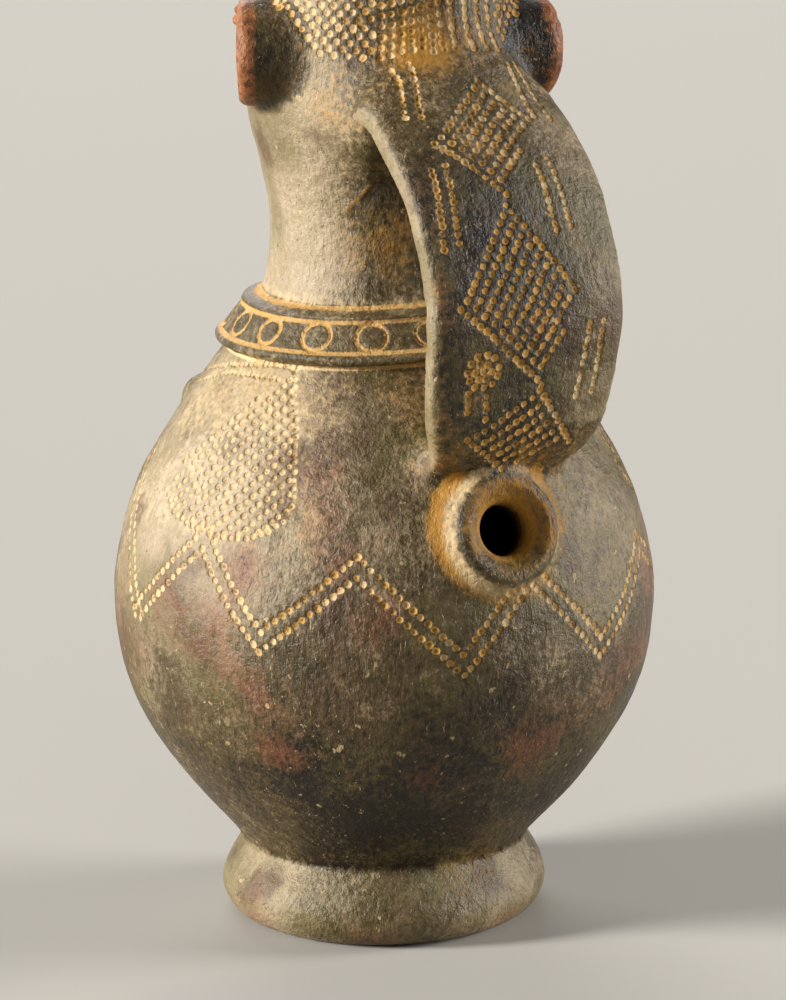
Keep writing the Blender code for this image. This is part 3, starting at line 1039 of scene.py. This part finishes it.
# worn orange-red corners, with black specks
wearEdge = total(spread("wear"), mixed(patch, 1.3), mixed(fine, 1.1))
worn = sums("MULTIPLY", ramp(wearEdge, 0.4, 1.15), 0.72)
colour = layer(colour, tint(clayColours["orangeRed"]), worn)
flake = ramp(total(grain(230, 3, 0.6), mixed(grit, 0.2)), 0.53, 0.6)
colour = layer(colour, tint(clayColours["soot"]), sums("MULTIPLY", sums("MULTIPLY", flake, worn), 0.8))

# cream dust in the hollows and golden residue
dusty = ramp(total(spread("dust"), mixed(fine, 1.3), mixed(patch, 0.9)), 0.2, 1.0)
colour = layer(colour, tint(clayColours["cream"]), sums("MULTIPLY", dusty, 0.72))
rusty = ramp(total(spread("rust"), mixed(patch, 1.2), mixed(fine, 1.3)), 0.2, 1.05)
colour = layer(colour, tint(clayColours["rust"]), sums("MULTIPLY", rusty, 0.8))

# ochre pressed into the dots and the grooves
ragged = total(mixed(grain(620, 3, 0.65), 0.75), mixed(grit, 0.3))
fill = ramp(total(spread("stamp"), ragged), 1.0, 0.8)
thin = ramp(total(spread("full"), mixed(fine, 1.6)), 0.05, 0.4)
fill = sums("MULTIPLY", fill, sums("ADD", sums("MULTIPLY", thin, 0.45), 0.5))
groove = sums("MULTIPLY", ramp(total(spread("groove"), ragged), 1.15, 0.55), 0.85)
# the ochre turns cream where the tone is high, so the painted light also lightens the fill
ochre = layer(tint(clayColours["ochre"]), tint(clayColours["cream"]),
              ramp(total(spread("toneAndPaintedLight"), spread("full"), mixed(fine, 0.8)), 0.55, 1.35))
centre = sums("MULTIPLY", ramp(total(spread("stamp"), ragged), 0.6, 0.1), ramp(spread("full"), 0.9, 0.2))
ochre = layer(ochre, tint(clayColours["ochreDark"]), centre)
colour = layer(colour, ochre, sums("MAXIMUM", fill, groove))
colour = layer(colour, tint(clayColours["inside"]), sums("MULTIPLY", spread("inside"), 0.85))
tree.links.new(colour, shader.inputs["Base Color"])

# burnished clay is smoother than dust
powder = sums("MAXIMUM", sums("MAXIMUM", fill, groove), sums("MAXIMUM", dusty, rusty))
polish = total(0.42, mixed(fine, 0.35), mixed(patch, 0.3))
tree.links.new(sums("ADD", polish, sums("MULTIPLY", powder, 0.3), True), shader.inputs["Roughness"])
shader.inputs["Metallic"].default_value = 0
shader.inputs["Specular IOR Level"].default_value = 0.3

height = total(sums("MULTIPLY", coarse, 1.1), sums("MULTIPLY", fine, 0.8), sums("MULTIPLY", strokes, 0.6),
               sums("MULTIPLY", grit, 0.25), sums("MULTIPLY", chip, -0.3), sums("MULTIPLY", scratch, -0.2),
               sums("MULTIPLY", ramp(total(spread("stamp"), mixed(grit, 0.2)), 0.7, 1.05), 0.35))
bump = add("Bump", {"Height": height, "Strength": 0.7, "Distance": 0.0015})
tree.links.new(bump.outputs[0], shader.inputs["Normal"])
jar.data.materials.append(material)
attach(jar, "root")
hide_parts("anthropomorphic_jar")
print("clay finish done")


# floor, light and camera

studio = {
    "floor": "#aaa59c", "floorSize": 60.0, "world": (1.0, 0.97, 0.92), "worldStrength": 0.15,
    # (out towards the camera, to the right, up), strength, softness in degrees
    "suns": {"key": ((0.55, -2.0, 0.62), 7.4, 14), "side": ((-0.25, 2.1, 0.55), 4.0, 24),
             "far": ((-2.0, -0.4, 1.3), 1.5, 40), "front": ((2.0, 0.3, 1.5), 0.25, 40)},
    "azimuth": 29, "lens": 131.376, "away": 1.5, "eye": 0.491, "aim": 0.176,
}
paper = bmesh.new()
bmesh.ops.create_grid(paper, x_segments=1, y_segments=1, size=studio["floorSize"])
floor = asObject(paper, "floor")
paper.free()
floorFinish = bpy.data.materials.new("floor")
floorFinish.use_nodes = True
floorShader = floorFinish.node_tree.nodes["Principled BSDF"]
floorShader.inputs["Base Color"].default_value = tint(studio["floor"])
floorShader.inputs["Roughness"].default_value = 0.9
floor.data.materials.append(floorFinish)

world = bpy.data.worlds.new("studio")
bpy.context.scene.world = world
world.use_nodes = True
world.node_tree.nodes["Background"].inputs["Color"].default_value = (*studio["world"], 1)
world.node_tree.nodes["Background"].inputs["Strength"].default_value = studio["worldStrength"]
bpy.context.scene.view_settings.view_transform = "Standard"

azimuth = math.radians(studio["azimuth"])  # the camera's, from +Y towards +X
outward = Vector((math.sin(azimuth), math.cos(azimuth), 0))
right = Vector((-math.cos(azimuth), math.sin(azimuth), 0))


def aimed(name, data, place, target):
    item = bpy.data.objects.new(name, data)
    item.location = place
    item.rotation_mode = "QUATERNION"
    item.rotation_quaternion = (target - place).to_track_quat("-Z", "Y")
    bpy.context.scene.collection.objects.link(item)
    return item


foot = Vector((0, -axisForward * mm, 0)) + right * axisForward * mm
eye = foot + outward * studio["away"] + Vector((0, 0, studio["eye"]))
camera = aimed("camera", bpy.data.cameras.new("camera"), eye, foot + Vector((0, 0, studio["aim"])))
camera.data.lens = studio["lens"]
camera.data.sensor_width = 36
bpy.context.scene.camera = camera
for name, ((out, aside, up), strength, softness) in studio["suns"].items():
    lamp = bpy.data.lights.new(name, "SUN")
    lamp.energy = strength
    lamp.angle = math.radians(softness)
    aimed(name, lamp, outward * out + right * aside + Vector((0, 0, up)), Vector((0, 0, 0)))
